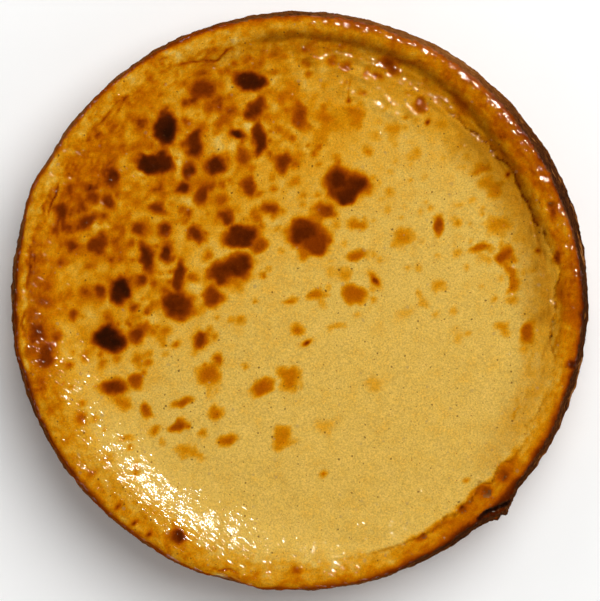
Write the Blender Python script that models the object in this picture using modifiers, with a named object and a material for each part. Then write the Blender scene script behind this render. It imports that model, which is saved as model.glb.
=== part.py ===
"""A whole baked cheesecake, turned out of its tin: one solid, standing on its flat base, +Z up.

The top has sunk as it cooled, so a raised rim stands round a flat floor. Bearings are in degrees,
anticlockwise from +X as seen from above. Sizes are in metres, written as millimetres times MM.
"""

import math

import bpy
from mathutils import Vector, noise

MM = 0.001

# Driving sizes: a cake from a 24 cm tin
CAKE_RADIUS = 120 * MM
RIM_HEIGHT = 46 * MM
SINK_DEPTH = 7.5 * MM
FLOOR_HEIGHT = RIM_HEIGHT - SINK_DEPTH

# The turned blank, before the relief
TOP_SHRINK = 2 * MM  # the top edge draws in from the tin as it cools
SHOULDER_ROUND = 3.5 * MM
BASE_ROUND = 1.5 * MM
WIDEST_HEIGHT = 22 * MM
TURN_STEPS = 360
RING_SPACING = 1.6 * MM
SHOULDER_RADIUS = CAKE_RADIUS - TOP_SHRINK
MOST_TRIANGLES = 10500

# Shape of the rim at every 30 degrees, from bearing 0: where the floor's skin starts to climb, the foot and
# the top of the rim's wall, its crest, how far the skin climbs, how high the crest stands above the floor,
# how much of that the wall makes, and how far the top edge is drawn in
FLOOR_RADIUS = [mm * MM for mm in (86, 85, 80, 82, 90, 92, 90, 82, 82, 84, 96, 94)]
FOOT_RADIUS = [mm * MM for mm in (104, 100, 103.5, 106, 107, 104, 102, 93, 93, 97, 105, 105.5)]
WALL_RADIUS = [mm * MM for mm in (109, 107.5, 110.5, 111.5, 112, 113, 113.5, 109, 109, 111, 112.5, 112)]
CREST_RADIUS = [mm * MM for mm in (114, 113.5, 114, 114.5, 115.5, 116, 115.5, 115.5, 116, 117.5, 115.5, 115)]
SKIN_RISE = [mm * MM for mm in (1.6, 1.6, 2.4, 3.2, 3.0, 2.8, 2.4, 1.4, 1.4, 1.2, 1.2, 1.4)]
RIM_RISE = [mm * MM for mm in (6.8, 7.8, 7.6, 6.6, 5.6, 5.2, 5.4, 5.8, 6.2, 5.0, 4.0, 5.4)]
WALL_SHARE = (0.82, 0.82, 0.80, 0.78, 0.75, 0.75, 0.80, 0.85, 0.85, 0.80, 0.70, 0.78)
EDGE_INSET = [mm * MM for mm in (2.2, 3.4, 1.8, 1.3, 1.3, 1.4, 1.8, 1.7, 1.2, 0.6, 1.6, 1.9)]
RIM_ROLL = 1.3 * MM  # how far the rim falls from its crest to its outer edge
MERGED_ARC = (135, 268)  # here the climbing skin and the rim's wall run into one slope

# Where the outline stands out or is nicked: bearing, half width in degrees, how far
OUTLINE = (
    dict(bearing=158, half=9, out=1.5 * MM),
    dict(bearing=190, half=5, out=0.9 * MM),
    dict(bearing=246, half=7, out=0.9 * MM),
    dict(bearing=254.5, half=4, out=-0.9 * MM),
    dict(bearing=262, half=5, out=0.9 * MM),
    dict(bearing=286, half=7, out=0.7 * MM),
    dict(bearing=340, half=8, out=-0.8 * MM),
    dict(bearing=70, half=5, out=-0.7 * MM),
)

# Folds in the skin, where the sunk top has slid off the rim: bent lines in millimetres
FOLDS = (
    dict(line=((47, 87.5), (52.5, 83.5), (57.8, 79)), half=2.6 * MM, height=0.9 * MM),
    dict(line=((10, 80.5), (20, 79.5), (28, 77)), half=2.6 * MM, height=0.75 * MM),
    dict(line=((28, 81.5), (34, 79), (41, 75.5)), half=2.6 * MM, height=0.8 * MM),
    dict(line=((42, 80.5), (49, 74.5)), half=2.4 * MM, height=0.7 * MM),
    dict(line=((15, 95), (23, 93.2), (31, 90)), half=2.4 * MM, height=0.75 * MM),
    dict(line=((16, 100.4), (24, 99), (35, 95.5)), half=2.2 * MM, height=0.6 * MM),
    dict(line=((32, 87), (40.5, 77.5)), half=2.2 * MM, height=0.65 * MM),
    dict(line=((54, 82), (67, 71), (74, 64)), half=3.0 * MM, height=0.7 * MM),
    dict(line=((76, 61), (82, 51), (87.5, 41)), half=2.6 * MM, height=0.5 * MM),
    dict(line=((97.5, 52), (84, 71.5), (77, 79.5)), half=2.2 * MM, height=0.45 * MM),
    dict(line=((-68, -84), (-60, -91.5), (-55, -95.5)), half=1.8 * MM, height=0.45 * MM),
)
CRUMPLED_ARC = (24, 100)
CRUMPLED_RADIUS = 97 * MM
CRUMPLED_HALF = 20 * MM

# The torn edge of the floor's skin, which stands over a groove at the foot of the rim: its radius at every
# 30 degrees, and the arcs over which it stands up
TORN_RADIUS = [mm * MM for mm in (105, 101.5, 100.5, 101, 104, 106, 106, 106, 106, 107, 107.8, 107.5)]
TORN_ARCS = (((347, 44), 0.9 * MM), ((306, 323), 0.6 * MM))
LIP_WIDTH = 6.0 * MM
GROOVE_WIDTH = 2.4 * MM

# Splits in the skin of the rim, each along an arc whose radius drifts from one end to the other
SPLITS = (
    dict(arc=(103, 118), radii=(106 * MM, 109 * MM), width=1.2 * MM, depth=0.8 * MM),
    dict(arc=(131, 140), radii=(111 * MM, 110 * MM), width=1.2 * MM, depth=0.6 * MM),
    dict(arc=(153, 163), radii=(110.5 * MM, 109 * MM), width=1.2 * MM, depth=0.8 * MM),
    dict(arc=(181, 188), radii=(113 * MM, 114.5 * MM), width=1.2 * MM, depth=0.7 * MM),
    dict(arc=(251, 258), radii=(115 * MM, 115 * MM), width=1.2 * MM, depth=0.7 * MM),
)

# Blisters, and pits where a blister has burst: bearing, radius, half width, height
BLISTERS = (
    dict(bearing=242.3, radius=109.6 * MM, half=3.6 * MM, height=1.5 * MM),
    dict(bearing=58.5, radius=93.8 * MM, half=3.6 * MM, height=0.8 * MM),
    dict(bearing=86.5, radius=99.7 * MM, half=4.2 * MM, height=0.9 * MM),
    dict(bearing=9.2, radius=106.4 * MM, half=2.6 * MM, height=0.9 * MM),
    dict(bearing=20.6, radius=110.3 * MM, half=2.8 * MM, height=-1.8 * MM),
    dict(bearing=314, radius=110.4 * MM, half=2.8 * MM, height=-1.8 * MM),
    dict(bearing=319, radius=110.4 * MM, half=3.0 * MM, height=-1.3 * MM),
    dict(bearing=307.8, radius=108.9 * MM, half=2.2 * MM, height=-1.1 * MM),
    dict(bearing=347.2, radius=115.9 * MM, half=2.4 * MM, height=-1.2 * MM),
    dict(bearing=69.4, radius=104 * MM, half=2.8 * MM, height=-0.9 * MM),
)

# The scorched crust that hangs out at the edge, behind a crack
CRUST_BEARING = 312
CRUST_HALF = 7
CRUST_OUT = 2.6 * MM
CRACK_RADIUS = 115.8 * MM
CRACK_DEPTH = 2.2 * MM
CRACK_WIDTH = 1.7 * MM

# Texture: the size of its lumps, and their height
FLOOR_WAVE = (26 * MM, 0.5 * MM)
SKIN_WAVE = (7 * MM, 0.25 * MM)
SIDE_LUMPS = (11 * MM, 0.6 * MM)
SIDE_CRUMBS = (3.6 * MM, 0.55 * MM)


def eased(share):
    """0 up to 0, 1 from 1 on, and a smooth rise between them."""
    share = min(max(share, 0.0), 1.0)
    return share * share * (3 - 2 * share)


def turn_between(bearing, other):
    """The turn from other to bearing, from -180 to 180 degrees."""
    return (bearing - other + 180) % 360 - 180


def around(bearing, values):
    """A smooth curve round the cake through values that are evenly spaced from bearing 0."""
    place = bearing / 360 * len(values)
    start = math.floor(place)
    share = place - start
    before, here, after, beyond = (values[(start + step) % len(values)] for step in (-1, 0, 1, 2))
    slope_here = (after - before) / 2
    slope_after = (beyond - here) / 2
    return (
        here
        + slope_here * share
        + (3 * (after - here) - 2 * slope_here - slope_after) * share**2
        + (2 * (here - after) + slope_here + slope_after) * share**3
    )


def within_arc(bearing, arc, soft):
    """1 inside the arc, falling to 0 over soft degrees past its ends."""
    half = ((arc[1] - arc[0]) % 360) / 2
    middle = arc[0] + half
    return eased((half + soft - abs(turn_between(bearing, middle))) / soft)


def hump(distance, half):
    """A round hump, 1 at its middle and 0 past half."""
    return eased(1 - abs(distance) / half)


def lumps(point, size, seed):
    """Smooth noise from about -1 to 1, with lumps of this size."""
    return noise.fractal(Vector(point) / size + Vector((seed, -seed, seed)), 1.0, 2.0, 2)


def blank_profile():
    """The blank's outline from the middle of the top, down its side, to the middle of the base."""
    points = []
    rings = round((SHOULDER_RADIUS - SHOULDER_ROUND) / RING_SPACING)
    for ring in range(rings):
        points.append(((SHOULDER_RADIUS - SHOULDER_ROUND) * ring / rings, RIM_HEIGHT))
    shoulder_steps = 6
    for step in range(shoulder_steps + 1):
        angle = math.pi / 2 * step / shoulder_steps
        radius = SHOULDER_RADIUS - SHOULDER_ROUND * (1 - math.sin(angle))
        points.append((radius, RIM_HEIGHT - SHOULDER_ROUND * (1 - math.cos(angle))))
    side_top = RIM_HEIGHT - SHOULDER_ROUND
    side_rings = round((side_top - BASE_ROUND) / RING_SPACING)
    for ring in range(1, side_rings + 1):
        height = side_top + (BASE_ROUND - side_top) * ring / side_rings
        flare = TOP_SHRINK * eased((side_top - height) / (side_top - WIDEST_HEIGHT))
        points.append((SHOULDER_RADIUS + flare, height))
    base_steps = 3
    for step in range(1, base_steps + 1):
        angle = math.pi / 2 * step / base_steps
        radius = CAKE_RADIUS - BASE_ROUND * (1 - math.cos(angle))
        points.append((radius, BASE_ROUND * (1 - math.sin(angle))))
    points.append((0.0, 0.0))
    return points


def turned_blank():
    """The profile turned round Z by a Screw modifier, as a mesh of its own."""
    points = blank_profile()
    edges = [(first, first + 1) for first in range(len(points) - 1)]
    profile = bpy.data.meshes.new("cake_profile")
    profile.from_pydata([(radius, 0.0, height) for radius, height in points], edges, [])
    guide = bpy.data.objects.new("cake_profile", profile)
    bpy.context.scene.collection.objects.link(guide)
    screw = guide.modifiers.new("Turn", "SCREW")
    screw.steps = screw.render_steps = TURN_STEPS
    screw.use_merge_vertices = True
    screw.merge_threshold = 0.00001
    graph = bpy.context.evaluated_depsgraph_get()
    blank = bpy.data.meshes.new_from_object(guide.evaluated_get(graph))
    bpy.data.objects.remove(guide)
    return blank


def outline_shift(bearing):
    """How far the outline stands out from a circle here."""
    out = 0.0
    for place in OUTLINE:
        out += place["out"] * hump(turn_between(bearing, place["bearing"]), place["half"])
    return out


def edge_radius(bearing):
    """Radius of the top's outer edge, drawn in from the tin by its own amount at each bearing."""
    return CAKE_RADIUS - around(bearing, EDGE_INSET) + outline_shift(bearing)


def rim_section(radius, bearing):
    """Height of the top at this place, with no skin texture."""
    floor = around(bearing, FLOOR_RADIUS)
    foot = around(bearing, FOOT_RADIUS)
    wall_top = around(bearing, WALL_RADIUS)
    crest = around(bearing, CREST_RADIUS)
    skin_rise = around(bearing, SKIN_RISE)
    wall_share = around(bearing, WALL_SHARE)
    merged = within_arc(bearing, MERGED_ARC, 14)
    skin_part = skin_rise * eased((radius - floor) / (foot + 3 * MM * merged - floor))
    start = foot - 4 * MM * merged
    wall_part = wall_share * eased((radius - start) / (wall_top - start))
    band_part = (1 - wall_share) * eased((radius - wall_top + 2 * MM) / (crest - wall_top + 2 * MM))
    rim_part = (around(bearing, RIM_RISE) - skin_rise) * (wall_part + band_part)
    past_crest = min(max((radius - crest) / (edge_radius(bearing) - crest), 0.0), 1.5)
    return FLOOR_HEIGHT + skin_part + rim_part - RIM_ROLL * past_crest**2


def line_distance(place, line):
    """The distance from a bent line, and the share of the way along it."""
    best = 1.0
    along = 0.0
    steps = len(line) - 1
    for step in range(steps):
        start = Vector(line[step]) * MM
        run = Vector(line[step + 1]) * MM - start
        share = min(max((place - start).dot(run) / run.length_squared, 0.0), 1.0)
        away = (place - start - run * share).length
        if away < best:
            best = away
            along = (step + share) / steps
    return best, along


def folds(place, radius, bearing):
    """The folds, thinner at their ends, and the crumpled skin they stand in."""
    wander = 0.9 * MM * lumps(place, 4 * MM, 13) + 0.45 * MM * lumps(place, 1.6 * MM, 14)
    spot = place.xy + Vector((wander, -wander))
    height = 0.0
    for fold in FOLDS:
        away, along = line_distance(spot, fold["line"])
        taper = 0.3 + 0.7 * eased(4 * min(along, 1 - along))
        height += fold["height"] * taper * hump(away, fold["half"])
    crumpled = within_arc(bearing, CRUMPLED_ARC, 16) * hump(radius - CRUMPLED_RADIUS, CRUMPLED_HALF)
    return height + 0.5 * MM * crumpled * lumps(Vector((place.x, place.y, 0.0)), 6 * MM, 21)


def ledge(place, radius, bearing):
    """The floor's torn skin, lifted at its edge, and the groove outside it."""
    step = 0.0
    for arc, high in TORN_ARCS:
        step = max(step, high * within_arc(bearing, arc, 8))
    edge = around(bearing, TORN_RADIUS) + 0.8 * MM * lumps(place, 5 * MM, 7)
    if radius < edge:
        return 0.45 * step * eased(1 - (edge - radius) / LIP_WIDTH)
    return -0.9 * step * eased(1 - (radius - edge) / GROOVE_WIDTH)


def splits(place, radius, bearing):
    """Grooves along the rim where its skin has parted."""
    depth = 0.0
    for split in SPLITS:
        share = turn_between(bearing, split["arc"][0]) / ((split["arc"][1] - split["arc"][0]) % 360)
        share = min(max(share, 0.0), 1.0)
        line = split["radii"][0] + (split["radii"][1] - split["radii"][0]) * share
        line += 1.0 * MM * lumps(place, 9 * MM, 11)
        strength = within_arc(bearing, split["arc"], 3)
        depth += split["depth"] * strength * hump(radius - line, split["width"])
    return -depth


def blisters(place):
    """Bumps and burst pits."""
    height = 0.0
    for blister in BLISTERS:
        angle = math.radians(blister["bearing"])
        middle = Vector((math.cos(angle), math.sin(angle))) * blister["radius"]
        height += blister["height"] * hump((place.xy - middle).length, blister["half"])
    return height


def crust_crack(radius, bearing):
    """The crack behind the scorched crust."""
    strength = hump(turn_between(bearing, CRUST_BEARING), CRUST_HALF)
    return -CRACK_DEPTH * strength * hump(radius - CRACK_RADIUS, CRACK_WIDTH)


def skin(place, radius):
    """Slow waves over the whole top, and the finer unevenness of its baked skin."""
    wave = FLOOR_WAVE[1] * lumps(place, FLOOR_WAVE[0], 17)
    fine = SKIN_WAVE[1] * lumps(place, SKIN_WAVE[0], 19) * (0.45 + eased(radius / CAKE_RADIUS))
    return wave + fine


def shaped(point):
    """Where a point of the blank lies on the baked cake."""
    radius = point.xy.length
    if radius < 1e-6 and point.z < RIM_HEIGHT / 2:
        return point.copy()
    bearing = math.degrees(math.atan2(point.y, point.x)) % 360
    shoulder_bottom = RIM_HEIGHT - SHOULDER_ROUND
    on_top = point.z > shoulder_bottom - 1e-6
    # The blank's side already flares from the shoulder to the tin, so the edge moves in from that
    near_edge = eased((radius - 0.8 * CAKE_RADIUS) / (0.18 * CAKE_RADIUS))
    by_height = eased((point.z - WIDEST_HEIGHT) / (shoulder_bottom - WIDEST_HEIGHT))
    drawn_in = SHOULDER_RADIUS + outline_shift(bearing) - edge_radius(bearing)
    out = near_edge * (outline_shift(bearing) - drawn_in * by_height)
    smooth_radius = radius + out
    # The side is rough where it baked on to the tin
    facing_out = eased((radius - (SHOULDER_RADIUS - 2 * MM)) / (2 * MM))
    rough = SIDE_LUMPS[1] * lumps(point, SIDE_LUMPS[0], 23)
    rough += SIDE_CRUMBS[1] * lumps(point, SIDE_CRUMBS[0], 29)
    crust_strength = hump(turn_between(bearing, CRUST_BEARING + 2), CRUST_HALF)
    crust_height = hump(point.z - 0.8 * RIM_HEIGHT, 0.4 * RIM_HEIGHT)
    out += facing_out * (rough + crust_strength * crust_height * CRUST_OUT)
    moved = point.copy()
    if radius > 1e-6:
        moved.xy *= (radius + out) / radius
    # The relief of the top, which fades out down the side
    place = Vector((moved.x, moved.y, RIM_HEIGHT))
    top = rim_section(smooth_radius, bearing) + skin(place, smooth_radius)
    top += folds(place, smooth_radius, bearing) + ledge(place, smooth_radius, bearing)
    top += splits(place, smooth_radius, bearing) + blisters(place) + crust_crack(smooth_radius, bearing)
    fade = 1.0 if on_top else eased((point.z - 0.3 * RIM_HEIGHT) / (shoulder_bottom - 0.3 * RIM_HEIGHT))
    moved.z -= (RIM_HEIGHT - top) * fade
    # Nothing reaches below the table
    moved.z = max(moved.z, 0.0)
    return moved


def custard_material():
    """Baked custard: golden, with the low sheen of a set egg skin."""
    material = bpy.data.materials.new("baked_custard")
    material.use_nodes = True
    shader = material.node_tree.nodes["Principled BSDF"]
    shader.inputs["Base Color"].default_value = (0.62, 0.33, 0.04, 1.0)
    shader.inputs["Roughness"].default_value = 0.45
    shader.inputs["Metallic"].default_value = 0.0
    return material


def centre_on_origin(mesh):
    """Puts the middle of the cake's outline on the Z axis."""
    for axis in (0, 1):
        values = [vertex.co[axis] for vertex in mesh.vertices]
        middle = (min(values) + max(values)) / 2
        for vertex in mesh.vertices:
            vertex.co[axis] -= middle


def make_cheesecake(collection):
    """The cake, shaped from the turned blank and then thinned to as few faces as its relief needs."""
    mesh = turned_blank()
    mesh.name = "cheesecake"
    for vertex in mesh.vertices:
        vertex.co = shaped(vertex.co)
    centre_on_origin(mesh)
    mesh.materials.append(custard_material())
    cake = bpy.data.objects.new("cheesecake", mesh)
    collection.objects.link(cake)
    triangles = sum(len(face.vertices) - 2 for face in mesh.polygons)
    thin = cake.modifiers.new("Thin", "DECIMATE")
    thin.ratio = MOST_TRIANGLES / triangles
    thin.use_collapse_triangulate = True
    mesh.shade_smooth()
    return cake


def main():
    for obj in list(bpy.data.objects):
        bpy.data.objects.remove(obj)
    collection = bpy.data.collections.new("cheesecake")
    bpy.context.scene.collection.children.link(collection)
    make_cheesecake(collection)


main()
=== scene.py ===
import math
import bpy
import numpy as np
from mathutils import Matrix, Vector, noise


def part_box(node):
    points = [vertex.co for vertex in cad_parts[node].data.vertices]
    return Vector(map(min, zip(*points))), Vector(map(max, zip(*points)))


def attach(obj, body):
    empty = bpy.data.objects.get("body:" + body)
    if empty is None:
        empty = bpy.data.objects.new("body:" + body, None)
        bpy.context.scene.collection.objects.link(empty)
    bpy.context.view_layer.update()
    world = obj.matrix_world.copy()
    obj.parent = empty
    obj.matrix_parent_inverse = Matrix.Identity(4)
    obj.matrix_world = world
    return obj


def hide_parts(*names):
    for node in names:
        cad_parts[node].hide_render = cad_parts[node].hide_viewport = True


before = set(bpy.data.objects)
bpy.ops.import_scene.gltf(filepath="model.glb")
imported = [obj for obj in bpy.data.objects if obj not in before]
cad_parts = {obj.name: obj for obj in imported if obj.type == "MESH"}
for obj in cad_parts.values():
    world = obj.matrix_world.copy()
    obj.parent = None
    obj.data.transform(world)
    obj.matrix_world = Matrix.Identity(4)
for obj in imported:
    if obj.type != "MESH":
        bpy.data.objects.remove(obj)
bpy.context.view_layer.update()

mm = 0.001

# A whole baked cheesecake, photographed from straight above.
# Bearings are degrees anticlockwise from +X, seen from above.

cake = {
    "radius": 120 * mm,
    "rimHeight": 46 * mm,
    "floorHeight": 38.5 * mm,
    "shoulderRadius": 118 * mm,
    "shoulderRound": 3.5 * mm,
    "baseRound": 1.5 * mm,
    "widestHeight": 22 * mm,
    "meshSize": 1.29 * mm,      # halved again where the detail is
    # the rim at every 30 degrees, from bearing 0, in mm: where the floor's skin starts to climb,
    # the foot and the top of the rim's wall, its crest, how far the skin climbs, how high the crest is,
    # how much of that the wall makes, and how far the top edge is drawn in
    "floorRadius": (86, 85, 80, 82, 90, 92, 90, 82, 82, 84, 96, 94),
    "footRadius": (104, 100, 103.5, 106, 107, 104, 102, 93, 93, 97, 105, 105.5),
    "wallRadius": (109, 107.5, 110.5, 111.5, 112, 113, 113.5, 109, 109, 111, 112.5, 112),
    "crestRadius": (114, 113.5, 114, 114.5, 115.5, 116, 115.5, 115.5, 116, 117.5, 115.5, 115),
    "skinRise": (1.6, 1.6, 2.4, 3.2, 3.0, 2.8, 2.4, 1.4, 1.4, 1.2, 1.2, 1.4),
    "rimRise": (6.8, 7.8, 7.6, 6.6, 5.6, 5.2, 5.4, 5.8, 6.2, 5.0, 4.0, 5.4),
    "wallShare": (0.82, 0.82, 0.80, 0.78, 0.75, 0.75, 0.80, 0.85, 0.85, 0.80, 0.70, 0.78),
    "edgeInset": (2.2, 3.4, 1.8, 1.3, 1.3, 1.4, 1.8, 1.7, 1.2, 0.6, 1.6, 1.9),
    "rimRoll": 1.3 * mm,
}

# where the outline stands out or is nicked: bearing, half width, how far in mm
outlineBumps = [
    (158, 9, 1.5), (190, 5, 0.9), (246, 7, 0.9), (254.5, 4, -0.9), (262, 5, 0.9), (286, 7, 0.7),
    (340, 8, -0.8), (70, 5, -0.7),
]


def eased(share):
    share = np.clip(share, 0, 1)
    return share * share * (3 - 2 * share)


def turnBetween(bearing, other):
    return (bearing - other + 180) % 360 - 180


def around(bearing, values):
    # a smooth closed curve through evenly spaced values
    values = np.array(values, dtype=float)
    place = bearing / 360 * len(values)
    start = np.floor(place).astype(int)
    share = place - start
    before, here, after, beyond = (values[(start + step) % len(values)] for step in (-1, 0, 1, 2))
    slopeHere = (after - before) / 2
    slopeAfter = (beyond - here) / 2
    return (here + slopeHere * share
            + (3 * (after - here) - 2 * slopeHere - slopeAfter) * share ** 2
            + (2 * (here - after) + slopeHere + slopeAfter) * share ** 3)


def withinArc(bearing, arc, soft):
    half = ((arc[1] - arc[0]) % 360) / 2
    return eased((half + soft - np.abs(turnBetween(bearing, arc[0] + half))) / soft)


def hump(distance, half):
    return eased(1 - np.abs(distance) / half)


def lumps(points, size, seed, octaves=2):
    shift = Vector((seed, -seed, seed))
    return np.array([noise.fractal(Vector(point) / size + shift, 1.0, 2.0, octaves) for point in points])


def blend(first, second, share):
    return first + (second - first) * share


def awayFromLine(x, y, line):
    # distance to a bent line, and how far along it from 0 to 1, all in mm
    best = np.full(len(x), 1e9)
    along = np.zeros(len(x))
    steps = len(line) - 1
    for step in range(steps):
        (x0, y0), (x1, y1) = line[step], line[step + 1]
        length = max((x1 - x0) ** 2 + (y1 - y0) ** 2, 1e-9)
        share = np.clip(((x - x0) * (x1 - x0) + (y - y0) * (y1 - y0)) / length, 0, 1)
        away = np.hypot(x - x0 - share * (x1 - x0), y - y0 - share * (y1 - y0))
        nearer = away < best
        best[nearer] = away[nearer]
        along[nearer] = (step + share[nearer]) / steps
    return best, along


def selectFaces(obj, chosen):
    mesh = obj.data
    for group in (mesh.vertices, mesh.edges, mesh.polygons):
        group.foreach_set("select", np.zeros(len(group), dtype=bool))
    mesh.polygons.foreach_set("select", chosen)


def faceData(obj):
    mesh = obj.data
    centres = np.empty(len(mesh.polygons) * 3)
    normals = np.empty(len(mesh.polygons) * 3)
    mesh.polygons.foreach_get("center", centres)
    mesh.polygons.foreach_get("normal", normals)
    return centres.reshape(-1, 3), normals.reshape(-1, 3)


def detailZones(x, y):
    # where the top needs its mesh finer: the edge, the torn ledge, the folds and round the brown spots
    radius = np.hypot(x, y)
    bearing = np.degrees(np.arctan2(y, x)) % 360
    fine = radius > 107 * mm
    fine |= (withinArc(bearing, (272, 50), 6) > 0.3) & (radius > 99 * mm)
    fine |= (withinArc(bearing, (20, 120), 4) > 0.3) & (radius > 94 * mm)
    fine |= (withinArc(bearing, (52, 84), 4) > 0.3) & (radius > 80 * mm)
    for spotX, spotY, length, width, _, bake in spots:
        if bake > 0.6:
            reach = (length + width) / 4 * mm + 1.6 * mm
            fine |= np.hypot(x - spotX * mm, y - spotY * mm) < reach
    return fine


def makeBlank():
    bpy.ops.object.select_all(action="DESELECT")
    height = cake["rimHeight"]
    bpy.ops.mesh.primitive_cylinder_add(vertices=256, radius=cake["shoulderRadius"], depth=height,
                                        location=(0, 0, height / 2))
    blank = bpy.context.active_object
    blank.name = "cheesecakeBody"
    bpy.ops.object.transform_apply(location=True, rotation=True, scale=True)
    for top, roundness, steps in ((True, cake["shoulderRound"], 6), (False, cake["baseRound"], 3)):
        centres, normals = faceData(blank)
        selectFaces(blank, normals[:, 2] > 0.9 if top else normals[:, 2] < -0.9)
        bpy.ops.object.mode_set(mode="EDIT")
        bpy.ops.mesh.select_mode(type="FACE")
        bpy.ops.mesh.region_to_loop()
        bpy.ops.mesh.bevel(offset=roundness, segments=steps, affect="EDGES")
        bpy.ops.object.mode_set(mode="OBJECT")
    blank.data.remesh_voxel_size = cake["meshSize"]
    bpy.ops.object.voxel_remesh()
    # the base is flat, with a few rings, so the fine mesh goes to what shows
    centres, normals = faceData(blank)
    selectFaces(blank, (normals[:, 2] < -0.9) & (centres[:, 2] < 0.4 * mm))
    bpy.ops.object.mode_set(mode="EDIT")
    bpy.ops.mesh.select_mode(type="FACE")
    bpy.ops.mesh.delete(type="FACE")
    bpy.ops.mesh.select_mode(type="EDGE")
    bpy.ops.mesh.select_non_manifold(extend=False)
    for scale in (0.97, 0.8, 0.5):
        bpy.ops.mesh.extrude_edges_move()
        bpy.ops.transform.resize(value=(scale, scale, 1), center_override=(0, 0, 0))
    bpy.ops.mesh.merge(type="CENTER")
    bpy.ops.object.mode_set(mode="OBJECT")
    centres, normals = faceData(blank)
    onTop = (normals[:, 2] > 0.3) & (centres[:, 2] > height / 2)
    selectFaces(blank, onTop & detailZones(centres[:, 0], centres[:, 1]))
    bpy.ops.object.mode_set(mode="EDIT")
    bpy.ops.mesh.select_mode(type="FACE")
    bpy.ops.mesh.subdivide(number_cuts=1, ngon=False)
    bpy.ops.object.mode_set(mode="OBJECT")
    print("blank cake:", len(blank.data.vertices), "points")
    return blank


# sizes and heights in mm
relief = {
    "crustBearing": 314, "crustHalf": 7, "crustOut": 3.2, "crustRough": (2.6, 2.2),
    "floorWave": (26, 0.5), "skinWave": (7, 0.25), "sideLumps": (11, 0.6), "sideCrumbs": (3.6, 0.55),
    "sideGrit": (1.8, 0.25), "pebbles": (2.2, 0.09), "rimLumps": (3.0, 0.36), "crumple": (6, 0.75),
    "lipWidth": 6.0, "grooveWidth": 2.4,
}

# the torn edge of the floor's skin: bearing, radius, how far it stands over the groove outside it, in mm
tornEdge = [
    (-92, 107, 0.0), (-75, 108.3, 0.3), (-67.5, 108.6, 0.4), (-63, 108.8, 0.5), (-58, 109.3, 0.6),
    (-56.5, 107.2, 0.7), (-53.5, 108.9, 0.6), (-51.5, 107.2, 0.8), (-50, 108.6, 0.7), (-47.5, 107.3, 0.9),
    (-45.4, 104.9, 1.0), (-43.8, 109, 0.8), (-41.8, 107.8, 0.8), (-39.4, 106.1, 0.7), (-37, 109.1, 0.4),
    (-32, 108.9, 0.3), (-29, 106.5, 0.4), (-27, 107.8, 0.4), (-18, 108.9, 0.3), (-13, 107.0, 0.4),
    (-10, 104.6, 0.7), (-7, 104.1, 0.9), (-2.5, 105, 1.0), (0.4, 104.7, 1.0), (2.6, 104.8, 1.0),
    (4, 106, 0.9), (5, 107, 0.8), (6.4, 107.7, 0.7), (8, 106.6, 0.7), (10.2, 105.5, 0.9), (12, 104.9, 1.0),
    (14, 104, 1.0), (16.5, 104.0, 0.9), (18.5, 101.6, 0.8), (22, 101.8, 0.9), (27.6, 101.0, 0.9),
    (31.8, 102.6, 0.9), (35.6, 99.9, 0.8), (40, 100.6, 0.8), (46, 99.0, 0.7), (52, 98.5, 0.3), (58, 100, 0.0),
]

# folds pushed up where the sunk skin slid off the rim: bent line in mm, half width, height
folds = [
    ([(47, 87.5), (52.5, 83.5), (57.8, 79)], 2.6, 0.9),
    ([(10, 80.5), (20, 79.5), (28, 77)], 2.6, 0.75),
    ([(28, 81.5), (34, 79), (41, 75.5)], 2.6, 0.8),
    ([(42, 80.5), (45, 78.5), (49, 74.5)], 2.4, 0.7),
    ([(15, 95), (23, 93.2), (31, 90)], 2.4, 0.75),
    ([(16, 100.4), (24, 99), (35, 95.5)], 2.2, 0.6),
    ([(20, 84.5), (26, 84), (32, 86.2)], 2.2, 0.6),
    ([(32, 87), (36, 83), (40.5, 77.5)], 2.2, 0.65),
    ([(54, 82), (61, 76.5), (67, 71), (74, 64)], 3.0, 0.7),
    ([(76, 61), (82, 51), (87.5, 41)], 2.6, 0.5),
    ([(93, 38), (95, 31), (96.8, 24.8), (98.8, 19), (99.5, 10), (99, 0)], 1.5, 0.55),
    ([(-68, -84), (-60, -91.5), (-55, -95.5)], 1.8, 0.45),
    ([(-37, -104.5), (-30, -108.3)], 1.8, 0.45),
    ([(1, 101), (6, 100), (12, 99.6)], 2.6, 0.7),
    ([(-12, 103), (-4, 103.6), (4, 104)], 1.8, 0.4),
    ([(-86, -62), (-79, -71), (-72, -78)], 2.2, 0.4),
    ([(98.2, 5), (98, -8), (96, -20)], 1.6, 0.3),
    ([(97.5, 52), (91, 62), (84, 71.5), (77, 79.5)], 2.2, 0.45),
    ([(104.5, 38), (101, 46), (96.5, 54)], 1.4, 0.3),
]

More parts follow.
